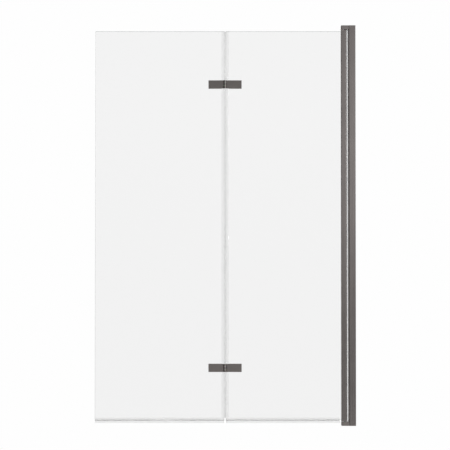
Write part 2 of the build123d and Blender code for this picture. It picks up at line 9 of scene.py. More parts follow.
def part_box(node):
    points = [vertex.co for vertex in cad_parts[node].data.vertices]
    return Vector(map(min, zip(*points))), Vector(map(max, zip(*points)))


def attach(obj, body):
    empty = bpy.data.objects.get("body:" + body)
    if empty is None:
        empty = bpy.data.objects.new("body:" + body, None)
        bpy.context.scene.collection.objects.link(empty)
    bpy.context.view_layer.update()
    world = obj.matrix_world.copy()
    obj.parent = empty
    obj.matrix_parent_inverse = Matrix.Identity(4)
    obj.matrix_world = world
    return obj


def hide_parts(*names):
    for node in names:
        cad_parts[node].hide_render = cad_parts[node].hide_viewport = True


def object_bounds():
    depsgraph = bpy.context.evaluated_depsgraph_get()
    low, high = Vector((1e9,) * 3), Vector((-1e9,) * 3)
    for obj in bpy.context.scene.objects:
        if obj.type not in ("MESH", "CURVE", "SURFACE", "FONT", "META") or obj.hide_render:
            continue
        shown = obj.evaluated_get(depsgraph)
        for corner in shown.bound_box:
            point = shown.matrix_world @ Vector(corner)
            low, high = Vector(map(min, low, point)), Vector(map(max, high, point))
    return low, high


bl_info = {
    "name": "Folding Bath Screen",
    "version": (1, 0, 0),
    "blender": (4, 5, 0),
    "location": "3D View > Sidebar > Bath Screen",
    "description": "Dresses the folding bath screen's frame: metal, glass, seals, screws and studio",
    "category": "Object",
}

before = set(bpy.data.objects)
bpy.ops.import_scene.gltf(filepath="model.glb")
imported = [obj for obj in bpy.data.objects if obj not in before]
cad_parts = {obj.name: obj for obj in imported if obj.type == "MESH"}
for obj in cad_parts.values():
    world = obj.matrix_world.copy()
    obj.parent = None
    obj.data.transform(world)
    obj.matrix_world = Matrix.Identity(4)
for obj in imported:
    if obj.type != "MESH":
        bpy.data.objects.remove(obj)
cad_low, cad_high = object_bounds()

MM = 0.001
# Each screw's head radius, shank radius and length, then its socket's width and depth
BRACKET_SCREW = (3.8 * MM, 1.9 * MM, 30 * MM, 3 * MM, 1.5 * MM)
END_PLATE_SCREW = (3 * MM, 1.5 * MM, 14 * MM, 2.5 * MM, 1.2 * MM)
# The same without the length, which comes from the CAD
HINGE_SCREW = (5 * MM, 2.5 * MM, 4 * MM, 2.2 * MM)
HINGE_SCREW_SPACING = 26 * MM
# Soft edge at the mouth of a grip seal
BEAD = 0.25 * MM
HINGES = ("upper", "lower")
PANELS = ("inner", "outer")
SPANS = ("lower", "middle", "upper")


def srgb(code):
    """The linear colour of an sRGB hex code such as "8a8481"."""
    channels = [int(code[i : i + 2], 16) / 255 for i in (0, 2, 4)]
    return tuple(c / 12.92 if c <= 0.04045 else ((c + 0.055) / 1.055) ** 2.4 for c in channels)


def length_prop(name, description, millimetres):
    """A length that the sidebar shows in the scene's units."""
    return bpy.props.FloatProperty(
        name=name, description=description, default=millimetres * MM, min=0, unit="LENGTH", precision=5
    )


def colour_prop(name, description, code):
    """A colour whose default is an sRGB hex code."""
    return bpy.props.FloatVectorProperty(
        name=name, description=description, default=srgb(code), min=0, max=1, size=3, subtype="COLOR"
    )


def power_prop(name, description, watts):
    """The power of a light."""
    return bpy.props.FloatProperty(name=name, description=description, default=watts, unit="POWER")


class ScreenSizes(bpy.types.PropertyGroup):
    eased_edge: length_prop("Eased edge", "Width of the soft edge on cut and extruded metal", 0.3)
    glass_arris: length_prop("Glass arris", "Width of the ground bevel round each pane", 1.0)
    glass_hole: length_prop("Glass hole", "Radius of the holes in the panes for the hinge screws", 6.0)
    pad_hole: length_prop("Pad hole", "Radius of the holes in the clamp pads", 2.8)
    seal_skin: length_prop("Seal wall", "Wall thickness of the clear seals", 1.0)
    seal_play: length_prop("Seal play", "Air between a seal and the face of the glass", 0.1)
    seal_round: length_prop("Seal corner", "Corner radius of the extruded seals", 0.4)
    drip_web: length_prop("Drip seal web", "Solid web under the bottom edge of the glass", 2.0)
    drip_lip: length_prop("Drip lip", "Thickness of the lip that hangs to the bath rim", 1.2)
    drip_lip_offset: length_prop("Drip lip offset", "How far the lip hangs in front of the glass centre", 2.0)
    fin_drop: length_prop("Fin drop", "How far the shedding fin falls below the web", 3.2)
    bulb_reach: length_prop("Bulb reach", "How far the hollow bulb stands out of its seal", 3.6)
    bulb_width: length_prop("Bulb width", "Width of the hollow bulb across the glass", 5.0)
    bulb_skin: length_prop("Bulb wall", "Wall thickness of the hollow bulb", 0.8)
    wall_seal_skin: length_prop("Wall seal wall", "Wall thickness of the hollow wall seal", 1.0)
    wall_seal_foot: length_prop("Wall seal foot", "Depth of the foot in the seal groove", 2.3)
    pad_gap: length_prop("Pad gap", "Air left on each side of a clamp pad", 0.02)
    screw_pitch: length_prop("Screw pitch", "Distance from thread to thread", 0.8)


class ScreenColours(bpy.types.PropertyGroup):
    aluminium: colour_prop("Anodised aluminium", "Dyed gunmetal layer on the extrusions", "8f8987")
    machined: colour_prop("Machined aluminium", "Dyed gunmetal layer on hinges and brackets", "8c8684")
    glass: colour_prop("Glass", "Body colour of the clear glass", "f6f6f6")
    ground_edge: colour_prop("Ground edge", "Grey-green look of the ground glass edge", "c3cac8")
    clear_vinyl: colour_prop("Clear vinyl", "Colour of the clear seals", "fafafa")
    soft_vinyl: colour_prop("Soft vinyl", "Colour of the seals' soft lips", "fbfbfb")
    frosted_vinyl: colour_prop("Frosted vinyl", "Colour of the wall seal", "fafafa")
    gasket: colour_prop("Gasket", "Colour of the glazing gasket and the clamp pads", "8d8e8d")
    acetal: colour_prop("Acetal", "Colour of bushes, washers and sleeves", "eeeeea")
    cap: colour_prop("Screw cap", "Colour of the moulded screw caps", "7c7775")
    steel: colour_prop("Stainless steel", "Colour of screws and pins", "cfccc8")
    floor: colour_prop("Floor", "Colour of the studio floor", "f4f4f3")
    backdrop: colour_prop("Backdrop", "Colour of the studio behind the screen", "fefefe")


class StudioSettings(bpy.types.PropertyGroup):
    camera_distance: length_prop("Camera distance", "From the lens to the screen", 6300)
    camera_drop: length_prop("Camera drop", "How far the camera stands below the screen's middle", 149)
    camera_side: length_prop("Camera side", "How far left of the screen's middle the camera stands", 1.2)
    camera_rise: length_prop("Camera rise", "How far above the screen's middle the camera looks", 0.6)
    view_width: length_prop("View width", "Width of the view at the screen", 1575)
    floor_drop: length_prop("Floor drop", "Height of the bath rim above the floor", 550)
    floor_size: length_prop("Floor size", "Length of a side of the floor", 8000)
    key_power: power_prop("Key light", "Power of the softbox on the room side", 15)
    fill_power: power_prop("Fill light", "Power of the softbox on the bath side", 40)


def add_node(tree, kind, inputs=None, **settings):
    """A new node with its settings. An input takes a value, another node's output, or a list of outputs."""
    node = tree.nodes.new(kind)
    for name, value in settings.items():
        setattr(node, name, value)
    for key, value in (inputs or {}).items():
        for item in value if isinstance(value, list) else [value]:
            if isinstance(item, bpy.types.NodeSocket):
                tree.links.new(item, node.inputs[key])
            else:
                node.inputs[key].default_value = item
    return node


def rgba(colour):
    """A colour with full alpha."""
    return (*colour, 1)


def per_metre(millimetres):
    """The scale of a noise whose features repeat about every so many millimetres."""
    return 1 / (millimetres * MM)


def new_material(name):
    """An empty node material with its output, as (material, tree, output node)."""
    material = bpy.data.materials.new(name)
    material.use_nodes = True
    tree = material.node_tree
    tree.nodes.clear()
    return material, tree, add_node(tree, "ShaderNodeOutputMaterial")


def stretched(tree, spacing, run, along):
    """Object coordinates scaled for lines with this spacing, drawn out over the run along one axis, in mm."""
    place = add_node(tree, "ShaderNodeTexCoord")
    scale = tuple(per_metre(run) if axis == along else per_metre(spacing) for axis in "XYZ")
    return add_node(
        tree, "ShaderNodeMapping", {"Vector": place.outputs["Object"], "Scale": scale}
    ).outputs[0]


def noise(tree, vector, scale=1.0, detail=2.0):
    """The grey value of a noise texture."""
    texture = add_node(tree, "ShaderNodeTexNoise", {"Vector": vector, "Scale": scale, "Detail": detail})
    return texture.outputs["Fac"]


def ranged(tree, value, low, high):
    """A noise value spread between two numbers."""
    spread = add_node(
        tree, "ShaderNodeMapRange",
        {"Value": value, "From Min": 0.3, "From Max": 0.7, "To Min": low, "To Max": high},
    )
    return spread.outputs[0]


def tinted(tree, colour, amount, value):
    """The colour, darker and lighter by the amount as the value goes from 0 to 1."""
    mix = add_node(tree, "ShaderNodeMix", {
        "Factor": value,
        "A": rgba([c * (1 - amount) for c in colour]),
        "B": rgba([min(1, c * (1 + amount)) for c in colour]),
    }, data_type="RGBA")
    return mix.outputs["Result"]


def make_anodised(name, colour, along, spacing, run, roughness, line_depth):
    """Aluminium, blasted or brushed, then anodised and dyed: a satin metal with fine lines one way.

    The lines are about 0.1 mm apart in life, and are drawn coarser here so that they show.
    """
    material, tree, output = new_material(name)
    place = add_node(tree, "ShaderNodeTexCoord").outputs["Object"]
    lines = noise(tree, stretched(tree, spacing, run, along), detail=3)
    etch = noise(tree, place, per_metre(0.6), detail=2)
    dye = noise(tree, place, per_metre(90), detail=2)
    relief = add_node(
        tree, "ShaderNodeBump", {"Height": lines, "Distance": line_depth * MM, "Strength": 0.5}
    )
    grain = add_node(
        tree, "ShaderNodeBump",
        {"Height": etch, "Distance": 0.004 * MM, "Strength": 0.6, "Normal": relief.outputs[0]},
    )
    shader = add_node(tree, "ShaderNodeBsdfPrincipled", {
        "Base Color": tinted(tree, colour, 0.05, ranged(tree, dye, 0, 1)),
        "Metallic": 1.0,
        "Roughness": ranged(tree, lines, roughness - 0.04, roughness + 0.04),
        "Normal": grain.outputs[0],
    })
    tree.links.new(shader.outputs[0], output.inputs["Surface"])
    return material


def make_glass(name, colour):
    """Toughened float glass: clear, with the faint long waves that the furnace rollers leave."""
    material, tree, output = new_material(name)
    waves = noise(tree, stretched(tree, 60, 400, "X"), detail=1)
    relief = add_node(tree, "ShaderNodeBump", {"Height": waves, "Distance": 0.01 * MM, "Strength": 0.3})
    shader = add_node(tree, "ShaderNodeBsdfPrincipled", {
        "Base Color": rgba(colour),
        "Roughness": 0.0,
        "IOR": 1.5,
        "Transmission Weight": 1.0,
        "Normal": relief.outputs[0],
    })
    tree.links.new(shader.outputs[0], output.inputs["Surface"])
    return material


def make_ground_edge(name, colour):
    """Ground and polished glass edge: the same glass, grey-green and fine-lined by the wheel."""
    material, tree, output = new_material(name)
    place = add_node(tree, "ShaderNodeTexCoord").outputs["Object"]
    marks = noise(tree, place, per_metre(1.2), detail=3)
    relief = add_node(tree, "ShaderNodeBump", {"Height": marks, "Distance": 0.02 * MM, "Strength": 0.4})
    shader = add_node(tree, "ShaderNodeBsdfPrincipled", {
        "Base Color": tinted(tree, colour, 0.04, ranged(tree, marks, 0, 1)),
        "Roughness": 0.22,
        "IOR": 1.5,
        "Transmission Weight": 0.7,
        "Normal": relief.outputs[0],
    })
    tree.links.new(shader.outputs[0], output.inputs["Surface"])
    return material


def make_vinyl(name, colour, along, roughness, clearness, haze):
    """Extruded soft PVC: clear to milky, glossy, with faint draw lines along its length."""
    material, tree, output = new_material(name)
    place = add_node(tree, "ShaderNodeTexCoord").outputs["Object"]
    lines = noise(tree, stretched(tree, 0.5, 60, along), detail=2)
    cloud = noise(tree, place, per_metre(14), detail=3)
    relief = add_node(tree, "ShaderNodeBump", {"Height": lines, "Distance": 0.02 * MM, "Strength": 0.4})
    shader = add_node(tree, "ShaderNodeBsdfPrincipled", {
        "Base Color": tinted(tree, colour, haze, ranged(tree, cloud, 0, 1)),
        "Roughness": ranged(tree, lines, roughness * 0.8, roughness * 1.2),
        "IOR": 1.53,
        "Transmission Weight": clearness,
        "Normal": relief.outputs[0],
    })
    tree.links.new(shader.outputs[0], output.inputs["Surface"])
    return material


def make_plastic(name, colour, roughness, grain_mm, grain_depth, scatter=0.0):
    """Moulded plastic or rubber with the fine spark-eroded grain of its mould."""
    material, tree, output = new_material(name)
    place = add_node(tree, "ShaderNodeTexCoord").outputs["Object"]
    grain = noise(tree, place, per_metre(grain_mm), detail=4)
    cloud = noise(tree, place, per_metre(12), detail=2)
    relief = add_node(
        tree, "ShaderNodeBump", {"Height": grain, "Distance": grain_depth * MM, "Strength": 0.6}
    )
    shader = add_node(tree, "ShaderNodeBsdfPrincipled", {
        "Base Color": tinted(tree, colour, 0.04, ranged(tree, cloud, 0, 1)),
        "Roughness": ranged(tree, grain, roughness - 0.05, roughness + 0.05),
        "Subsurface Weight": scatter,
        "Subsurface Scale": 0.5 * MM,
        "Normal": relief.outputs[0],
    })
    tree.links.new(shader.outputs[0], output.inputs["Surface"])
    return material


def make_steel(name, colour):
    """Stainless steel screws and pins, turned and tumbled: bright with fine soft scratches."""
    material, tree, output = new_material(name)
    place = add_node(tree, "ShaderNodeTexCoord").outputs["Object"]
    scratches = noise(tree, place, per_metre(0.35), detail=4)
    relief = add_node(
        tree, "ShaderNodeBump", {"Height": scratches, "Distance": 0.006 * MM, "Strength": 0.5}
    )
    shader = add_node(tree, "ShaderNodeBsdfPrincipled", {
        "Base Color": tinted(tree, colour, 0.05, ranged(tree, scratches, 0, 1)),
        "Metallic": 1.0,
        "Roughness": ranged(tree, scratches, 0.22, 0.34),
        "Normal": relief.outputs[0],
    })
    tree.links.new(shader.outputs[0], output.inputs["Surface"])
    return material


def make_materials(colours):
    """Every finish of the screen, by the name that the pieces ask for."""
    return {
        "profile": make_anodised("satin_anodised_extrusion", colours.aluminium, "Z", 0.8, 300, 0.28, 0.012),
        "machined": make_anodised("brushed_anodised_aluminium", colours.machined, "X", 0.5, 30, 0.4, 0.01),
        "glass": make_glass("toughened_float_glass", colours.glass),
        "ground_edge": make_ground_edge("ground_glass_edge", colours.ground_edge),
        "upright_vinyl": make_vinyl("clear_extruded_pvc_upright", colours.clear_vinyl, "Z", 0.06, 1.0, 0.01),
        "level_vinyl": make_vinyl("clear_extruded_pvc_level", colours.clear_vinyl, "X", 0.06, 1.0, 0.01),
        "soft_upright_vinyl": make_vinyl("soft_lip_pvc_upright", colours.soft_vinyl, "Z", 0.15, 0.88, 0.02),
        "soft_level_vinyl": make_vinyl("soft_lip_pvc_level", colours.soft_vinyl, "X", 0.15, 0.88, 0.02),
        "frosted_vinyl": make_vinyl("frosted_soft_pvc", colours.frosted_vinyl, "Z", 0.15, 1.0, 0.01),
        "gasket": make_plastic("soft_grey_elastomer", colours.gasket, 0.6, 0.5, 0.02),
        "acetal": make_plastic("machined_white_acetal", colours.acetal, 0.42, 0.4, 0.01, 0.3),
        "cap": make_plastic("moulded_grey_abs", colours.cap, 0.38, 0.7, 0.015),
        "steel": make_steel("turned_stainless_steel", colours.steel),
        "floor": make_plastic("pale_matt_floor", colours.floor, 0.7, 25, 0.05),
    }


def new_tree(name, inputs):
    """A geometry node tree with these inputs, each a name, kind and default, and its input node."""
    tree = bpy.data.node_groups.new(name, "GeometryNodeTree")
    for label, kind, default in inputs:
        item = tree.interface.new_socket(name=label, in_out="INPUT", socket_type="NodeSocket" + kind)
        if default is not None:
            item.default_value = default
    tree.interface.new_socket(name="Geometry", in_out="OUTPUT", socket_type="NodeSocketGeometry")
    return tree, add_node(tree, "NodeGroupInput")


def smooth_but_sharp(tree, geometry, angle):
    """Geometry with smooth faces, apart from edges that turn by more than the angle."""
    turn = add_node(tree, "GeometryNodeInputMeshEdgeAngle")
    sharp = add_node(
        tree, "FunctionNodeCompare", {0: turn.outputs["Unsigned Angle"], 1: math.radians(angle)},
        data_type="FLOAT", operation="GREATER_THAN",
    )
    rounded = add_node(tree, "GeometryNodeSetShadeSmooth", {"Geometry": geometry})
    edged = add_node(
        tree, "GeometryNodeSetShadeSmooth",
        {"Geometry": rounded.outputs[0], "Selection": sharp.outputs[0], "Shade Smooth": False},
        domain="EDGE",
    )
    return edged.outputs[0]


def finish_tree(tree, group_in, geometry):
    """Ends a tree with Realize Instances and Set Material."""
    real = add_node(tree, "GeometryNodeRealizeInstances", {"Geometry": geometry})
    dressed = add_node(
        tree, "GeometryNodeSetMaterial",
        {"Geometry": real.outputs[0], "Material": group_in.outputs["Material"]},
    )
    add_node(tree, "NodeGroupOutput", {"Geometry": dressed.outputs[0]})
    return tree


def make_extrusion_tree():
    """A tree that rounds a drawn section, fills it and draws it out into a closed length."""
    inputs = (
        ("Section", "Geometry", None), ("Length", "Float", 1.0), ("Corner Radius", "Float", 0.0),
        ("Corner Steps", "Int", 4), ("Material", "Material", None),
    )
    tree, group_in = new_tree("Extruded section", inputs)
    wire = add_node(tree, "GeometryNodeMeshToCurve", {"Mesh": group_in.outputs["Section"]})
    rounded = add_node(tree, "GeometryNodeFilletCurve", {
        "Curve": wire.outputs[0],
        "Radius": group_in.outputs["Corner Radius"],
        "Count": group_in.outputs["Corner Steps"],
        "Limit Radius": True,
    }, mode="POLY")
    section = add_node(tree, "GeometryNodeFillCurve", {"Curve": rounded.outputs[0]}, mode="NGONS")
    reach = add_node(tree, "ShaderNodeCombineXYZ", {"Z": group_in.outputs["Length"]})
    drawn = add_node(
        tree, "GeometryNodeExtrudeMesh",
        {"Mesh": section.outputs[0], "Offset": reach.outputs[0], "Individual": False}, mode="FACES",
    )
    base = add_node(tree, "GeometryNodeFlipFaces", {"Mesh": section.outputs[0]})
    both = add_node(tree, "GeometryNodeJoinGeometry", {"Geometry": [drawn.outputs[0], base.outputs[0]]})
    closed = add_node(
        tree, "GeometryNodeMergeByDistance", {"Geometry": both.outputs[0], "Distance": 0.001 * MM}
    )
    return finish_tree(tree, group_in, smooth_but_sharp(tree, closed.outputs[0], 40))


def make_fastener_tree():
    """A tree that cuts a hexagon socket in a blank and sets a copy on each seat, turned at random."""
    inputs = (
        ("Seats", "Geometry", None), ("Blank", "Object", None), ("Socket Width", "Float", 0.0),
        ("Socket Top", "Float", 0.0), ("Socket Depth", "Float", 0.0), ("Seed", "Int", 3),
        ("Material", "Material", None),
    )
    tree, group_in = new_tree("Fasteners on seats", inputs)
    blank = add_node(tree, "GeometryNodeObjectInfo", {"Object": group_in.outputs["Blank"]})
    radius = add_node(
        tree, "ShaderNodeMath", {0: group_in.outputs["Socket Width"], 1: math.sqrt(3)}, operation="DIVIDE"
    )
    height = add_node(
        tree, "ShaderNodeMath", {0: group_in.outputs["Socket Depth"], 1: 2.0}, operation="MULTIPLY"
    )
    key = add_node(
        tree, "GeometryNodeMeshCylinder",
        {"Vertices": 6, "Radius": radius.outputs[0], "Depth": height.outputs[0]},
    )
    lift = add_node(tree, "ShaderNodeCombineXYZ", {"Z": group_in.outputs["Socket Top"]})
    placed = add_node(
        tree, "GeometryNodeTransform", {"Geometry": key.outputs["Mesh"], "Translation": lift.outputs[0]}
    )
    cut = add_node(
        tree, "GeometryNodeMeshBoolean",
        {"Mesh 1": blank.outputs["Geometry"], "Mesh 2": placed.outputs[0]}, operation="DIFFERENCE",
        solver="EXACT",
    )
    facing = add_node(tree, "GeometryNodeInputNamedAttribute", {"Name": "facing"}, data_type="FLOAT_VECTOR")
    aim = add_node(
        tree, "FunctionNodeAlignRotationToVector", {"Vector": facing.outputs["Attribute"]}, axis="Z"
    )
    chance = add_node(
        tree, "FunctionNodeRandomValue",
        {"Max": (0.0, 0.0, math.tau), "Seed": group_in.outputs["Seed"]}, data_type="FLOAT_VECTOR",
    )
    turned = add_node(
        tree, "FunctionNodeRotateRotation",
        {"Rotation": aim.outputs[0], "Rotate By": chance.outputs[0]}, rotation_space="LOCAL",
    )
    copies = add_node(tree, "GeometryNodeInstanceOnPoints", {
        "Points": group_in.outputs["Seats"],
        "Instance": smooth_but_sharp(tree, cut.outputs["Mesh"], 35),
        "Rotation": turned.outputs[0],
    })
    return finish_tree(tree, group_in, copies.outputs[0])


def linked(name, data):
    """A new object of the mesh, light or camera in the scene."""
    piece = bpy.data.objects.new(name, data)
    bpy.context.scene.collection.objects.link(piece)
    return piece


def grown(name, seed_mesh, tree, values):
    """The plain mesh object that a geometry node tree makes from a seed mesh and its named inputs."""
    seed = linked(name + "_seed", seed_mesh)
    modifier = seed.modifiers.new("grow", "NODES")
    modifier.node_group = tree
    for item in tree.interface.items_tree:
        if item.in_out == "INPUT" and item.name in values:
            modifier[item.identifier] = values[item.name]
    flat = seed.modifiers.new("flat", "WEIGHTED_NORMAL")
    flat.keep_sharp = True
    graph = bpy.context.evaluated_depsgraph_get()
    mesh = bpy.data.meshes.new_from_object(seed.evaluated_get(graph))
    bpy.data.objects.remove(seed)
    if not mesh.polygons:
        raise RuntimeError(f"{name} came out empty")
    if mesh.materials[0] is None:
        mesh.materials.pop(index=0)
    mesh.name = name
    return linked(name, mesh)


def wire_mesh(name, loops):
    """A mesh of closed loops of edges in the XY plane."""
    points, edges = [], []
    for loop in loops:
        first = len(points)
        points += [(x, y, 0) for x, y in loop]
        edges += [(first + i, first + (i + 1) % len(loop)) for i in range(len(loop))]
    mesh = bpy.data.meshes.new(name)
    mesh.from_pydata(points, edges, [])
    return mesh


def mirrored(points):
    """The points on the other side of the glass plane, in reverse order."""
    return [(x, -y) for x, y in reversed(points)]


# How a section drawn in X and Y is laid in the frame, by the axis that it is drawn out along
LAID_ALONG = {
    "X": Matrix(((0, 0, 1, 0), (1, 0, 0, 0), (0, 1, 0, 0), (0, 0, 0, 1))),
    "Y": Matrix(((1, 0, 0, 0), (0, 0, 1, 0), (0, -1, 0, 0), (0, 0, 0, 1))),
    "Z": Matrix.Identity(4),
}


def extruded(name, loops, along, start, length, material, corner=0.0, steps=4):
    """A closed length of a drawn section that begins at start on the axis it runs along."""
    values = {"Length": length, "Corner Radius": corner, "Corner Steps": steps, "Material": material}
    piece = grown(name, wire_mesh(name, loops), trees()["extrusion"], values)
    offset = Vector([start if axis == along else 0 for axis in "XYZ"])
    piece.data.transform(Matrix.Translation(offset) @ LAID_ALONG[along])
    return piece


def soften(seal, material, is_soft):
    """Gives a seal's soft lip its own material: the faces whose middle passes the test."""
    seal.data.materials.append(material)
    for face in seal.data.polygons:
        if is_soft(face.center):
            face.material_index = 1


def turned(name, outline, sides=48):
    """A turned blank: the outline of (radius, height) points spun about Z, from the top pole to the lower."""
    points, faces, rings = [], [], []
    for radius, height in outline:
        if radius <= 0:
            rings.append([len(points)])
            points.append((0, 0, height))
            continue
        rings.append(list(range(len(points), len(points) + sides)))
        for i in range(sides):
            angle = math.tau * i / sides
            points.append((radius * math.cos(angle), radius * math.sin(angle), height))
    for above, below in zip(rings, rings[1:]):
        for i in range(sides):
            j = (i + 1) % sides
            if len(above) == 1:
                faces.append((above[0], below[i], below[j]))
            elif len(below) == 1:
                faces.append((above[i], below[0], above[j]))
            else:
                faces.append((above[i], below[i], below[j], above[j]))
    mesh = bpy.data.meshes.new(name)
    mesh.from_pydata(points, [], faces)
    return linked(name, mesh)


def thread(radius, top, bottom, pitch):
    """The ridges of a screw's thread from top to bottom, as outline points."""
    depth = pitch * 0.45
    count = max(1, int((top - bottom) / pitch))
    points = []
    for i in range(count):
        crest = top - (i + 0.5) * pitch
        points += [(radius - depth, crest + pitch * 0.42), (radius, crest + pitch * 0.08)]
        points += [(radius, crest - pitch * 0.08), (radius - depth, crest - pitch * 0.42)]
    return points


def countersunk_outline(head, shank, length, pitch):
    """A countersunk screw with its head's face at height 0."""
    ease = 0.15 * MM
    head_depth = head - shank
    return [
        (0, 0), (head - ease, 0), (head, -ease), (shank, -head_depth),
        *thread(shank, -head_depth, pitch * 0.5 - length, pitch), (shank * 0.6, -length), (0, -length),
    ]


def pan_outline(head, head_height, shank, length, pitch):
    """A pan-head screw that seats at height 0."""
    dome = [
        (head * math.sin(math.radians(a)) ** 0.6, head_height * (0.55 + 0.45 * math.cos(math.radians(a))))
        for a in (30, 50, 70, 85)
    ]
    return [
        (0, head_height), *dome, (head, head_height * 0.35), (head * 0.98, 0), (shank, 0),
        *thread(shank, 0, pitch * 0.5 - length, pitch), (shank * 0.6, -length), (0, -length),
    ]


def cap_outline(radius, height, wall, room):
    """A domed snap cap, hollow from below, that seats at height 0."""
    dome = [
        (radius * math.sin(math.radians(a)), height * (0.5 + 0.5 * math.cos(math.radians(a))))
        for a in range(12, 90, 13)
    ]
    return [
        (0, height), *dome, (radius, height * 0.5), (radius, 0.15 * MM), (radius - 0.15 * MM, 0),
        (radius - wall, 0), (radius - wall, room * 0.9), (radius - wall * 1.3, room), (0, room),
    ]


def fasteners(name, blank, seats, material, socket=(0, 0, 0), seed=3):
    """Copies of a turned blank on seats, each a place and the way that its head faces."""
    mesh = bpy.data.meshes.new(name)
    mesh.from_pydata([place for place, _ in seats], [], [])
    facing = mesh.attributes.new("facing", "FLOAT_VECTOR", "POINT")
    for i, (_, direction) in enumerate(seats):
        facing.data[i].vector = direction
    width, top, depth = socket
    values = {
        "Blank": blank,
        "Socket Width": width,
        "Socket Top": top,
        "Socket Depth": depth,
        "Seed": seed,
        "Material": material,
    }
    piece = grown(name, mesh, trees()["fasteners"], values)
    bpy.data.objects.remove(blank)
    return piece


def end_screws(node, body, screw, places, seed):
    """Countersunk screws in the lower and upper ends of a profile, in the places of the CAD's."""
    head, shank, length, width, depth = screw
    low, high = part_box(node)
    seats = [((x, y, low.z), (0, 0, -1)) for x, y in places]
    seats += [((x, y, high.z), (0, 0, 1)) for x, y in places]
    name = node.removesuffix("s") + "_set"
    pitch = bpy.context.scene.bath_sizes.screw_pitch
    blank = turned(name + "_blank", countersunk_outline(head, shank, length, pitch))
    screws = fasteners(name, blank, seats, finishes()["steel"], (width, 0, depth), seed)
    stand_in(screws, body, "stainless_steel", node)


def ease_metal(node, body, material):
    """A copy of a metal CAD node, its loose faces joined and its sharp edges eased, stands in for it."""
    edge = bpy.context.scene.bath_sizes.eased_edge
    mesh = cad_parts[node].data.copy()
    work = bmesh.new()
    work.from_mesh(mesh)
    bmesh.ops.remove_doubles(work, verts=work.verts, dist=0.001 * MM)
    bmesh.ops.dissolve_limit(
        work, angle_limit=math.radians(0.5), verts=work.verts, edges=work.edges, delimit={"NORMAL"}
    )
    work.to_mesh(mesh)
    work.free()
    mesh.materials.clear()
    mesh.materials.append(material)
    mesh.polygons.foreach_set("material_index", [0] * len(mesh.polygons))
    rough = linked(node + "_rough", mesh)
    bevel = rough.modifiers.new("ease", "BEVEL")
    bevel.width = edge
    bevel.segments = 2
    bevel.limit_method = "ANGLE"
    bevel.angle_limit = math.radians(40)
    bevel.use_clamp_overlap = False
    bevel.miter_outer = "MITER_ARC"
    flat = rough.modifiers.new("flat", "WEIGHTED_NORMAL")
    flat.keep_sharp = True
    mesh.shade_smooth()
    graph = bpy.context.evaluated_depsgraph_get()
    eased = bpy.data.meshes.new_from_object(rough.evaluated_get(graph))
    # The bevel can throw a corner off the body, which goes back to the surface
    surface = BVHTree.FromPolygons([v.co for v in mesh.vertices], [f.vertices[:] for f in mesh.polygons])
    for corner in eased.vertices:
        nearest, _, _, distance = surface.find_nearest(corner.co)
        if distance > edge / 2:
            corner.co = nearest
    bpy.data.objects.remove(rough)
    eased.name = node + "_eased"
    stand_in(linked(node + "_eased", eased), body, "gunmetal_aluminium", node)


def dress_node(node, material):
    """A CAD node that keeps its shape and gets a better material."""
    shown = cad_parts[node]
    if not shown.material_slots:
        shown.data.materials.append(material)
    for entry in shown.material_slots:
        entry.material = material


def stand_in(piece, body, slot, *nodes):
    """The piece rides on the body and stands for the nodes, which are hidden; the slot is not used."""
    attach(piece, body)
    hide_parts(*nodes)


def middle(node):
    """The middle of a CAD node's box."""
    low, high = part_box(node)
    return (low + high) / 2


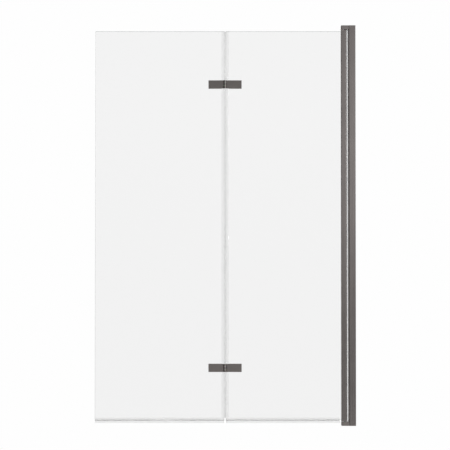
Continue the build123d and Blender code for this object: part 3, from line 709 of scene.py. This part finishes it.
class BATHSCREEN_OT_stage(bpy.types.Operator):
    """Floor, studio light and camera"""

    bl_idname = "bathscreen.stage"
    bl_label = "Stage"

    def execute(self, context):
        studio = context.scene.bath_studio
        centre = (cad_low + cad_high) / 2
        self.make_floor(studio, centre)
        self.make_world(context)
        self.make_lights(studio, centre)
        self.make_camera(studio, Vector((centre.x - studio.camera_side, 0, centre.z + studio.camera_rise)))
        context.scene.view_settings.view_transform = "Standard"
        return {"FINISHED"}

    def make_floor(self, studio, centre):
        """A pale floor as far below the screen as a bath's rim stands above it."""
        half = studio.floor_size / 2
        level = cad_low.z - studio.floor_drop
        corners = [(-half, -half), (half, -half), (half, half), (-half, half)]
        mesh = bpy.data.meshes.new("floor")
        mesh.from_pydata([(centre.x + x, y, level) for x, y in corners], [], [(0, 1, 2, 3)])
        mesh.materials.append(finishes()["floor"])
        linked("floor", mesh)

    def make_world(self, context):
        """A white backdrop for the eye, a studio for mirrored rays and a paler one for matte surfaces."""
        world = bpy.data.worlds.new("studio")
        context.scene.world = world
        world.use_nodes = True
        tree = world.node_tree
        tree.nodes.clear()
        path = add_node(tree, "ShaderNodeLightPath")
        seen = add_node(
            tree, "ShaderNodeMath",
            {0: path.outputs["Is Camera Ray"], 1: path.outputs["Is Transmission Ray"]},
            operation="MAXIMUM",
        )
        place = add_node(tree, "ShaderNodeTexCoord")
        split = add_node(tree, "ShaderNodeSeparateXYZ", {0: place.outputs["Generated"]})
        height = add_node(
            tree, "ShaderNodeMapRange", {"Value": split.outputs["Z"], "From Min": -1.0, "From Max": 1.0}
        )
        ramp = add_node(tree, "ShaderNodeValToRGB", {"Fac": height.outputs[0]})
        levels = ((0.0, 0.14), (0.45, 0.18), (0.5, 0.34), (0.54, 0.6), (0.6, 0.55), (0.7, 0.35), (1.0, 0.6))
        stops = ramp.color_ramp.elements
        while len(stops) < len(levels):
            stops.new(0.5)
        for stop, (position, grey) in zip(stops, levels):
            stop.position = position
            stop.color = (grey, grey, grey, 1)
        backdrop = add_node(
            tree, "ShaderNodeBackground", {"Color": rgba(context.scene.bath_colours.backdrop)}
        )
        side = add_node(
            tree, "ShaderNodeMapRange",
            {"Value": split.outputs["X"], "From Min": -0.4, "From Max": 0.4, "To Min": 0.4, "To Max": 1.2},
        )
        studio = add_node(
            tree, "ShaderNodeBackground", {"Color": ramp.outputs["Color"], "Strength": side.outputs[0]}
        )
        ambient = add_node(tree, "ShaderNodeBackground", {"Color": (1, 1, 1, 1), "Strength": 0.8})
        lit = add_node(
            tree, "ShaderNodeMixShader",
            {0: path.outputs["Is Diffuse Ray"], 1: studio.outputs[0], 2: ambient.outputs[0]},
        )
        mix = add_node(
            tree, "ShaderNodeMixShader", {0: seen.outputs[0], 1: lit.outputs[0], 2: backdrop.outputs[0]}
        )
        add_node(tree, "ShaderNodeOutputWorld", {"Surface": mix.outputs[0]})

    def make_lights(self, studio, centre):
        """Softboxes: the key on the room side to the right, the fill high on the bath side."""
        boxes = (
            ("key", (1.6, -3.0, 0.45), 0.9, studio.key_power),
            ("fill", (-1.4, 2.6, 1.2), 2.4, studio.fill_power),
        )
        for name, offset, size, power in boxes:
            light = bpy.data.lights.new(name, "AREA")
            light.shape = "SQUARE"
            light.size = size
            light.energy = power
            box = linked(name, light)
            box.visible_camera = False
            box.visible_transmission = False
            box.location = centre + Vector(offset)
            box.rotation_euler = Vector(offset).to_track_quat("Z", "Y").to_euler()

    def make_camera(self, studio, target):
        """A long lens in front of the screen, a little below its middle and tilted up to it."""
        lens = bpy.data.cameras.new("camera")
        lens.sensor_width = 36
        lens.lens = lens.sensor_width * studio.camera_distance / studio.view_width
        lens.clip_end = 100
        camera = linked("camera", lens)
        reach = math.sqrt(studio.camera_distance**2 - studio.camera_drop**2)
        camera.location = target + Vector((0, -reach, -studio.camera_drop))
        camera.rotation_euler = (target - camera.location).to_track_quat("-Z", "Y").to_euler()
        bpy.context.scene.camera = camera


class BATHSCREEN_OT_wall_channel(bpy.types.Operator):
    """Wall channel with its fixing screws, clamp nuts and caps"""

    bl_idname = "bathscreen.wall_channel"
    bl_label = "Wall Channel"

    def execute(self, context):
        sizes = context.scene.bath_sizes
        finish = finishes()
        ease_metal("wall_profile", "wall_channel", finish["profile"])
        dress_node("clamp_nuts", finish["steel"])
        low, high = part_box("fixing_screw_caps")
        seat_y = low.y
        radius = (high.x - low.x) / 2
        heights = (low.z + radius, (low.z + high.z) / 2, high.z - radius)
        seats = [((low.x + radius, seat_y, z), (0, 1, 0)) for z in heights]
        cap = turned("cap_blank", cap_outline(radius, high.y - low.y, 0.9 * MM, 2.5 * MM))
        caps = fasteners("screw_caps", cap, seats, finish["cap"])
        stand_in(caps, "wall_channel", "grey_plastic", "fixing_screw_caps")
        screw_low, screw_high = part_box("fixing_screws")
        head_height = screw_high.y - seat_y
        outline = pan_outline(
            (screw_high.x - screw_low.x) / 2, head_height, 2 * MM, seat_y - screw_low.y, sizes.screw_pitch
        )
        socket = (2.5 * MM, head_height, 1.3 * MM)
        blank = turned("fixing_screw_blank", outline)
        screws = fasteners("fixing_screw_set", blank, seats, finish["steel"], socket)
        stand_in(screws, "wall_channel", "stainless_steel", "fixing_screws")
        return {"FINISHED"}


class BATHSCREEN_OT_adjuster(bpy.types.Operator):
    """Adjusting profile with its two pivot brackets, bushes, washers and screws"""

    bl_idname = "bathscreen.adjuster"
    bl_label = "Adjusting Profile and Brackets"

    def execute(self, context):
        finish = finishes()
        ease_metal("adjusting_profile", "adjuster", finish["profile"])
        for end in ("top", "bottom"):
            ease_metal(f"{end}_pivot_bracket", "adjuster", finish["machined"])
            dress_node(f"{end}_pivot_bush", finish["acetal"])
            dress_node(f"{end}_thrust_washer", finish["acetal"])
        low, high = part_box("bracket_screws")
        head = BRACKET_SCREW[0]
        places = ((low.x + head, high.y - head), (high.x - head, low.y + head))
        end_screws("bracket_screws", "adjuster", BRACKET_SCREW, places, 5)
        return {"FINISHED"}


class BATHSCREEN_OT_wall_seal(bpy.types.Operator):
    """Hollow frosted seal between the adjusting profile and the pivot profile"""

    bl_idname = "bathscreen.wall_seal"
    bl_label = "Wall Seal"

    def execute(self, context):
        sizes = context.scene.bath_sizes
        low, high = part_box("wall_seal")
        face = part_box("adjusting_profile")[0].x
        skin = sizes.wall_seal_skin
        half = high.y
        neck, foot = 1.3 * MM, 2.8 * MM
        groove = face + 1.35 * MM
        back = face - 0.1 * MM
        outer = [
            (low.x, -half), (back, -half), (back, -neck), (groove, -neck), (groove, -foot),
            (face + sizes.wall_seal_foot, -foot),
        ]
        outer += mirrored(outer)
        inner = [(low.x + skin, skin - half), (back - skin, skin - half)]
        inner += mirrored(inner)
        seal = extruded(
            "frosted_wall_seal", [outer, inner], "Z", low.z, high.z - low.z,
            finishes()["frosted_vinyl"], corner=0.7 * MM, steps=6,
        )
        stand_in(seal, "adjuster", "frosted_pvc", "wall_seal")
        return {"FINISHED"}


class BATHSCREEN_OT_pivot_profile(bpy.types.Operator):
    """Pivot profile with its end plates, pivot pins, screws and glazing gasket"""

    bl_idname = "bathscreen.pivot_profile"
    bl_label = "Pivot Profile"

    def execute(self, context):
        finish = finishes()
        ease_metal("pivot_profile", "inner_panel", finish["profile"])
        for end in ("top", "bottom"):
            ease_metal(f"{end}_end_plate", "inner_panel", finish["machined"])
            dress_node(f"{end}_pivot_pin", finish["steel"])
        low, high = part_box("end_plate_screws")
        head = END_PLATE_SCREW[0]
        places = ((low.x + head, low.y + head), (low.x + head, high.y - head))
        end_screws("end_plate_screws", "inner_panel", END_PLATE_SCREW, places, 7)
        self.make_gasket(finish)
        return {"FINISHED"}

    def make_gasket(self, finish):
        """A soft channel round the glass in its pocket, with lips that lean in at its mouth."""
        low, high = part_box("glazing_gasket")
        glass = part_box("inner_glass")[1]
        clear = 0.03 * MM
        half = high.y - clear
        slot = glass.y + clear
        mouth = low.x
        base = glass.x + clear
        upper = [
            (mouth, slot + 0.7 * MM), (mouth + 0.8 * MM, slot), (mouth + 3 * MM, slot),
            (mouth + 3.6 * MM, slot + 0.5 * MM), (base, slot + 0.5 * MM),
        ]
        section = [(mouth + 0.6 * MM, half), *upper, *mirrored(upper)]
        section += [(mouth + 0.6 * MM, -half), (high.x, -half), (high.x, half)]
        gasket = extruded(
            "soft_glazing_gasket", [section], "Z", low.z, high.z - low.z, finish["gasket"],
            corner=0.15 * MM, steps=2,
        )
        stand_in(gasket, "inner_panel", "soft_gasket", "glazing_gasket")


class BATHSCREEN_OT_glass(bpy.types.Operator):
    """The two toughened panes, with ground edges and holes for the hinge screws"""

    bl_idname = "bathscreen.glass"
    bl_label = "Glass Panes"

    def execute(self, context):
        sizes = context.scene.bath_sizes
        finish = finishes()
        for panel in PANELS:
            low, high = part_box(f"{panel}_glass")
            sheet = [(low.x, -low.z), (high.x, -low.z), (high.x, -high.z), (low.x, -high.z)]
            holes = [punched(x, -z, sizes.glass_hole) for x, z in hinge_screw_places(panel)]
            pane = extruded(
                f"{panel}_pane",
                [sheet, *holes],
                "Y",
                low.y,
                high.y - low.y,
                finish["glass"],
                )
            self.grind(pane, sizes.glass_arris, finish["ground_edge"])
            stand_in(pane, f"{panel}_panel", "clear_glass", f"{panel}_glass")
        return {"FINISHED"}

    def grind(self, pane, arris, edge_material):
        """Cuts the arris round the pane and gives the ground faces their own finish."""
        pane.data.materials.append(edge_material)
        bevel = pane.modifiers.new("arris", "BEVEL")
        bevel.width = arris
        bevel.segments = 1
        bevel.limit_method = "ANGLE"
        bevel.angle_limit = math.radians(60)
        bevel.use_clamp_overlap = False
        graph = bpy.context.evaluated_depsgraph_get()
        mesh = bpy.data.meshes.new_from_object(pane.evaluated_get(graph))
        pane.modifiers.clear()
        pane.data = mesh
        for face in mesh.polygons:
            face.material_index = 0 if abs(face.normal.y) > 0.99 else 1
        mesh.shade_flat()


class BATHSCREEN_OT_bottom_seals(bpy.types.Operator):
    """Clear drip seals under the panes"""

    bl_idname = "bathscreen.bottom_seals"
    bl_label = "Drip Seals"

    def execute(self, context):
        sizes = context.scene.bath_sizes
        for panel in PANELS:
            low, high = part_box(f"{panel}_bottom_seal")
            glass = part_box(f"{panel}_glass")
            seal = extruded(
                f"{panel}_drip_seal",
                [self.section(sizes, glass, low, high)],
                "X",
                low.x,
                high.x - low.x,
                finishes()["level_vinyl"],
                    corner=sizes.seal_round,
            )
            web = glass[0].z - sizes.drip_web
            soften(seal, finishes()["soft_level_vinyl"], lambda place: place.z < web)
            stand_in(seal, f"{panel}_panel", "clear_pvc", f"{panel}_bottom_seal")
        return {"FINISHED"}

    def section(self, sizes, glass, low, high):
        """The seal's section across the screen: grip, web, hanging lip and the fin to the bath side."""
        glass_low, glass_high = glass
        slot = glass_high.y + sizes.seal_play
        outer = slot + sizes.seal_skin
        floor = glass_low.z - sizes.seal_play
        web = glass_low.z - sizes.drip_web
        lip = -sizes.drip_lip_offset
        half_lip = sizes.drip_lip / 2
        rim = high.z - sizes.seal_skin
        fin = web - sizes.fin_drop
        return [
            (-outer, web), (lip - half_lip, web), (lip - half_lip * 0.8, low.z),
            (lip + half_lip * 0.8, low.z), (lip + half_lip, web), (outer, web),
            (high.y - sizes.seal_skin, fin), (high.y, fin + sizes.seal_skin), (outer, floor),
            (outer, rim), (outer - BEAD, high.z), (slot + BEAD, high.z), (slot, rim), (slot, floor),
            (-slot, floor), (-slot, rim), (-slot - BEAD, high.z), (-outer + BEAD, high.z),
            (-outer, rim),
        ]


class BATHSCREEN_OT_edge_seals(bpy.types.Operator):
    """Clear seals on the two edges at the fold, in three lengths between the hinges"""

    bl_idname = "bathscreen.edge_seals"
    bl_label = "Edge Seals"

    def execute(self, context):
        sizes = context.scene.bath_sizes
        for span in SPANS:
            for panel in PANELS:
                node = f"{panel}_edge_seal_{span}"
                low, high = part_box(node)
                draw = self.bulb_section if panel == "outer" else self.flat_section
                seal = extruded(
                    f"{node}_clear",
                    draw(sizes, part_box(f"{panel}_glass"), low, high),
                    "Z",
                    low.z,
                    high.z - low.z,
                    finishes()["upright_vinyl"],
                            corner=sizes.seal_round,
                )
                if panel == "inner":
                    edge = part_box("inner_glass")[0].x
                    soften(seal, finishes()["soft_upright_vinyl"], lambda place: place.x < edge)
                stand_in(seal, f"{panel}_panel", "clear_pvc", node)
        return {"FINISHED"}

    def grip(self, sizes, edge, end, side, slot):
        """Half a grip's outline from its mouth to its slot's floor, on the positive side of the glass."""
        outer = slot + sizes.seal_skin
        return [
            (end - side * sizes.seal_skin, outer), (end, outer - BEAD), (end, slot + BEAD),
            (end - side * sizes.seal_skin, slot), (edge - side * sizes.seal_play, slot),
        ]

    def flat_section(self, sizes, glass, low, high):
        """The inner pane's seal, with a flat web that the bulb meets."""
        edge, slot = glass[0].x, glass[1].y + sizes.seal_play
        half = self.grip(sizes, edge, high.x, 1, slot)
        web = [(low.x, -slot - sizes.seal_skin), (low.x, slot + sizes.seal_skin)]
        return [[*half, *mirrored(half), *web]]

    def bulb_section(self, sizes, glass, low, high):
        """The outer pane's seal, with a hollow bulb on its web."""
        edge, slot = glass[1].x, glass[1].y + sizes.seal_play
        half = self.grip(sizes, edge, low.x, -1, slot)
        web = high.x - sizes.bulb_reach
        wide = sizes.bulb_width / 2
        outer = slot + sizes.seal_skin
        nose = [
            (web, outer), (web, wide), (web + 0.7 * sizes.bulb_reach, wide * 0.95), (high.x, wide * 0.5)
        ]
        section = [*half, *mirrored(half), *reversed(mirrored(nose)), *reversed(nose)]
        skin = sizes.bulb_skin
        hollow = [
            (web, wide - skin), (web + 0.62 * sizes.bulb_reach, wide - skin), (high.x - skin, wide * 0.4)
        ]
        hollow += mirrored(hollow)
        return [section, hollow]


class BATHSCREEN_OT_hinges(bpy.types.Operator):
    """Clamp hinges: leaves, back plates, pads, pins, bushes, washers, sleeves and screws"""

    bl_idname = "bathscreen.hinges"
    bl_label = "Hinges"

    def execute(self, context):
        sizes = context.scene.bath_sizes
        finish = finishes()
        for place in HINGES:
            for panel in PANELS:
                for part in ("leaf", "back_plate"):
                    node = f"{place}_hinge_{panel}_{part}"
                    ease_metal(node, f"{panel}_panel", finish["machined"])
                self.make_pads(sizes, finish, place, panel)
            dress_node(f"{place}_hinge_pin", finish["steel"])
            dress_node(f"{place}_hinge_bush", finish["acetal"])
            dress_node(f"{place}_hinge_washers", finish["acetal"])
        for panel in PANELS:
            dress_node(f"{panel}_hinge_sleeves", finish["acetal"])
            self.make_screws(sizes, finish, panel)
        return {"FINISHED"}

    def make_pads(self, sizes, finish, place, panel):
        """A pad under the leaf and one under the back plate, punched for the screws."""
        node = f"{place}_hinge_{panel}_pads"
        low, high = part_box(node)
        glass_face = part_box(f"{panel}_glass")[1].y
        plate_low, plate_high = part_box(f"{place}_hinge_{panel}_back_plate")
        inset = 0.3 * MM
        for side, x_low, x_high in ((-1, low.x, high.x), (1, plate_low.x, plate_high.x)):
            start = low.y + sizes.pad_gap if side < 0 else glass_face + sizes.pad_gap
            outline = [
                (x_low + inset, -low.z - inset), (x_high - inset, -low.z - inset),
                (x_high - inset, -high.z + inset), (x_low + inset, -high.z + inset),
            ]
            holes = [
                punched(x, -z, sizes.pad_hole) for x, z in hinge_screw_places(panel) if low.z < z < high.z
            ]
            pad = extruded(
                f"{node}_soft_{'front' if side < 0 else 'back'}",
                [outline, *holes],
                "Y",
                start,
                (-glass_face - low.y) - 2 * sizes.pad_gap,
                finish["gasket"],
                    corner=0.8 * MM,
            )
            stand_in(pad, f"{panel}_panel", "soft_gasket", node)

    def make_screws(self, sizes, finish, panel):
        """Countersunk screws from the bath side through both hinges of a panel."""
        head, shank, width, depth = HINGE_SCREW
        low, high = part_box(f"{panel}_hinge_screws")
        seats = [((x, high.y, z), (0, 1, 0)) for x, z in hinge_screw_places(panel)]
        outline = countersunk_outline(head, shank, high.y - low.y, sizes.screw_pitch)
        blank = turned(f"{panel}_hinge_screw_blank", outline)
        screws = fasteners(
            f"{panel}_hinge_screw_set",
            blank,
            seats,
           
            finish["steel"],
            (width, 0, depth),
            seed=11 if panel == "inner" else 13,
        )
        stand_in(screws, f"{panel}_panel", "stainless_steel", f"{panel}_hinge_screws")


def punched(x, y, radius, steps=36):
    """The outline of a round hole."""
    turns = [math.tau * i / steps for i in range(steps)]
    return [(x + radius * math.cos(a), y + radius * math.sin(a)) for a in turns]


def hinge_screw_places(panel):
    """Where the hinge screws of a panel stand, as (x, z)."""
    spacing = HINGE_SCREW_SPACING
    places = []
    for place in HINGES:
        centre = middle(f"{place}_hinge_{panel}_back_plate")
        places += [(centre.x - spacing / 2, centre.z), (centre.x + spacing / 2, centre.z)]
    return places


shared = {}


def finishes():
    """The materials, made once."""
    if "finishes" not in shared:
        shared["finishes"] = make_materials(bpy.context.scene.bath_colours)
    return shared["finishes"]


def trees():
    """The geometry node trees, made once."""
    if "trees" not in shared:
        shared["trees"] = {"extrusion": make_extrusion_tree(), "fasteners": make_fastener_tree()}
    return shared["trees"]


class BATHSCREEN_PT_panel(bpy.types.Panel):
    """Sidebar panel with the screen's steps, sizes and colours"""

    bl_idname = "BATHSCREEN_PT_panel"
    bl_label = "Bath Screen"
    bl_space_type = "VIEW_3D"
    bl_region_type = "UI"
    bl_category = "Bath Screen"

    def draw(self, context):
        for operator in OPERATORS:
            self.layout.operator(operator.bl_idname)
        for group in (context.scene.bath_sizes, context.scene.bath_colours, context.scene.bath_studio):
            column = self.layout.column(heading=group.bl_rna.name)
            for name in group.__annotations__:
                column.prop(group, name)


OPERATORS = (
    BATHSCREEN_OT_stage,
    BATHSCREEN_OT_wall_channel,
    BATHSCREEN_OT_adjuster,
    BATHSCREEN_OT_wall_seal,
    BATHSCREEN_OT_pivot_profile,
    BATHSCREEN_OT_glass,
    BATHSCREEN_OT_bottom_seals,
    BATHSCREEN_OT_edge_seals,
    BATHSCREEN_OT_hinges,
)
GROUPS = {"bath_sizes": ScreenSizes, "bath_colours": ScreenColours, "bath_studio": StudioSettings}


def register():
    for cls in (*GROUPS.values(), *OPERATORS, BATHSCREEN_PT_panel):
        bpy.utils.register_class(cls)
    for name, group in GROUPS.items():
        setattr(bpy.types.Scene, name, bpy.props.PointerProperty(type=group))


def unregister():
    for name in GROUPS:
        delattr(bpy.types.Scene, name)
    for cls in (BATHSCREEN_PT_panel, *reversed(OPERATORS), *reversed(GROUPS.values())):
        bpy.utils.unregister_class(cls)


def main():
    register()
    for operator in OPERATORS:
        group, name = operator.bl_idname.split(".")
        getattr(getattr(bpy.ops, group), name)()


if __name__ == "__main__":
    main()
